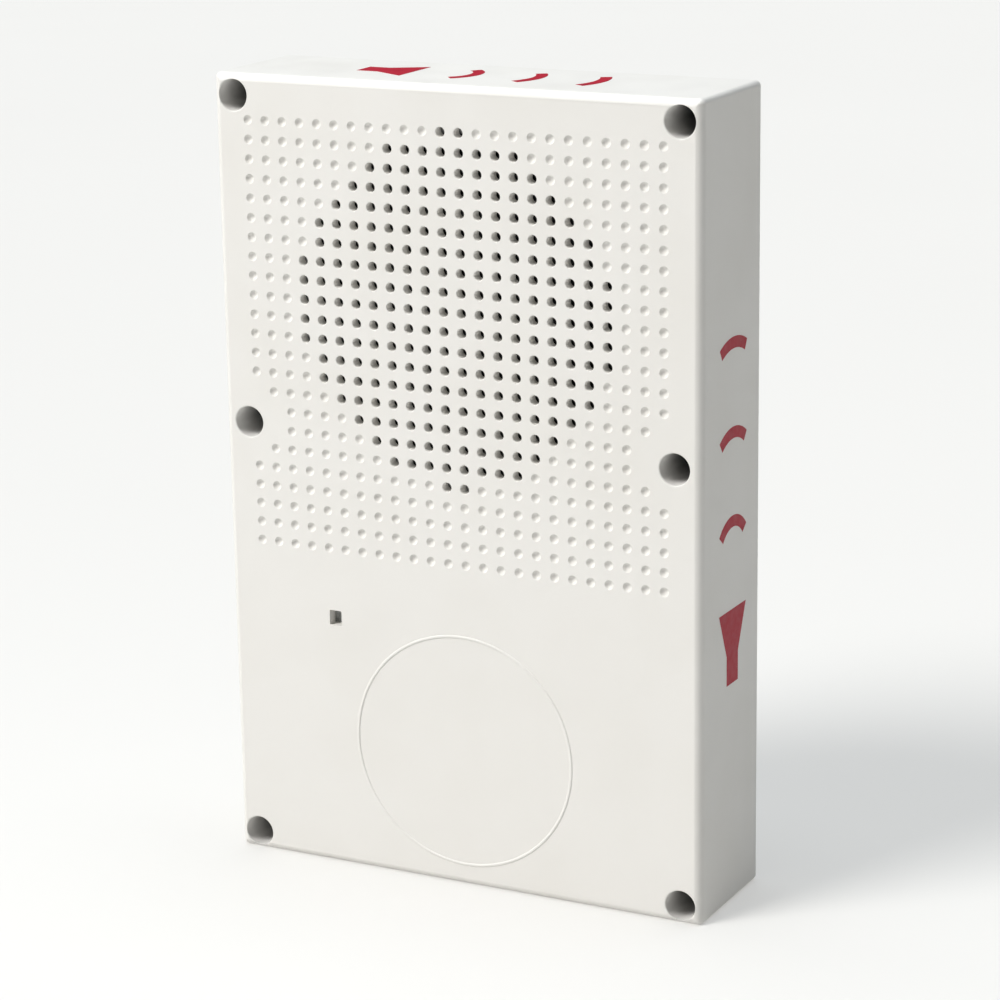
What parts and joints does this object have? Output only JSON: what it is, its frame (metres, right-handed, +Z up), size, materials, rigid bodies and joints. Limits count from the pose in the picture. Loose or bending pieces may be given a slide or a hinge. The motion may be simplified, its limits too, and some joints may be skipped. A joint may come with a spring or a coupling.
{
  "type": "alarm siren",
  "caption": "Wall-mounted loudspeaker alarm siren: shallow white box with perforated grille, small window, red marks on its sides, and a removable front cover.",
  "frame": {"origin": "middle of the back face, on the wall plane", "axes": "+Z up, -Y out of the wall towards the listener, +X to the right as seen from the front"},
  "size_m": [0.137, 0.036, 0.2116],
  "materials": {
    "cover_plastic": "satin",
    "signal_red": "satin",
    "foam_rubber": "matte",
    "black_rubber": "matte",
    "clear_plastic": "gloss",
    "base_plastic": "satin",
    "stainless_steel": "satin",
    "zinc_steel": "satin",
    "brass": "satin",
    "black_steel": "satin",
    "lamination_steel": "matte",
    "ferrite": "matte",
    "copper": "gloss",
    "paper_cone": "matte",
    "spider_cloth": "matte",
    "fibre_board": "matte",
    "board_laminate": "gloss",
    "winding_tape": "satin",
    "black_plastic": "satin",
    "terminal_plastic": "satin",
    "dial_plastic": "satin",
    "capacitor_sleeve": "gloss",
    "wire_black": "satin"
  },
  "bodies": {
    "root": {"base_plate": "base_plastic", "wall_gasket": "foam_rubber", "wire_grommet": "black_rubber", "speaker_basket": "black_steel", "cone_surround": "black_rubber", "spider": "spider_cloth", "magnet_top_plate": "zinc_steel", "magnet_ring": "ferrite", "pole_yoke": "zinc_steel", "speaker_gasket": "foam_rubber", "speaker_terminal_strip": "fibre_board", "circuit_board": "board_laminate", "transformer_core": "lamination_steel", "transformer_bobbin": "black_plastic", "transformer_winding": "winding_tape", "terminal_block": "terminal_plastic", "tap_selector_housing": "black_plastic", "capacitor_upper": "capacitor_sleeve", "capacitor_lower": "capacitor_sleeve", "speaker_lead_red": "signal_red", "speaker_lead_black": "wire_black", "threaded_insert_top_left": "brass", "threaded_insert_top_right": "brass", "threaded_insert_middle_left": "brass", "threaded_insert_middle_right": "brass", "threaded_insert_bottom_left": "brass", "threaded_insert_bottom_right": "brass", "speaker_screw_1": "zinc_steel", "speaker_screw_2": "zinc_steel", "speaker_screw_3": "zinc_steel", "speaker_screw_4": "zinc_steel", "board_screw_1": "zinc_steel", "board_screw_2": "zinc_steel", "board_screw_3": "zinc_steel", "board_screw_4": "zinc_steel", "terminal_screw_1": "zinc_steel", "terminal_screw_2": "zinc_steel", "terminal_screw_3": "zinc_steel", "terminal_screw_4": "zinc_steel"},
    "cover": {"front_cover": "cover_plastic", "cover_gasket": "foam_rubber", "window_lens": "clear_plastic", "cover_screw_top_left": "stainless_steel", "cover_screw_top_right": "stainless_steel", "cover_screw_middle_left": "stainless_steel", "cover_screw_middle_right": "stainless_steel", "cover_screw_bottom_left": "stainless_steel", "cover_screw_bottom_right": "stainless_steel"},
    "diaphragm": {"speaker_cone": "paper_cone", "dust_cap": "paper_cone", "voice_coil": "copper"},
    "dial": {"tap_selector_dial": "dial_plastic"}
  },
  "joints": [
    {"name": "cover_removal", "type": "slide", "parent": "root", "child": "cover", "axis": [0, -1, 0], "range_m": [0, 0.1]},
    {"name": "diaphragm_stroke", "type": "slide", "parent": "root", "child": "diaphragm", "axis": [0, -1, 0], "range_m": [-0.0012, 0.0012], "stiffness_N_per_m": 1900, "deforming": ["cone_surround", "spider"]},
    {"name": "tap_selector_turn", "type": "hinge", "parent": "root", "child": "dial", "pos_m": [-0.0367, -0.0294, -0.0438], "axis": [0, -1, 0], "range_deg": [0, 144]}
  ]
}
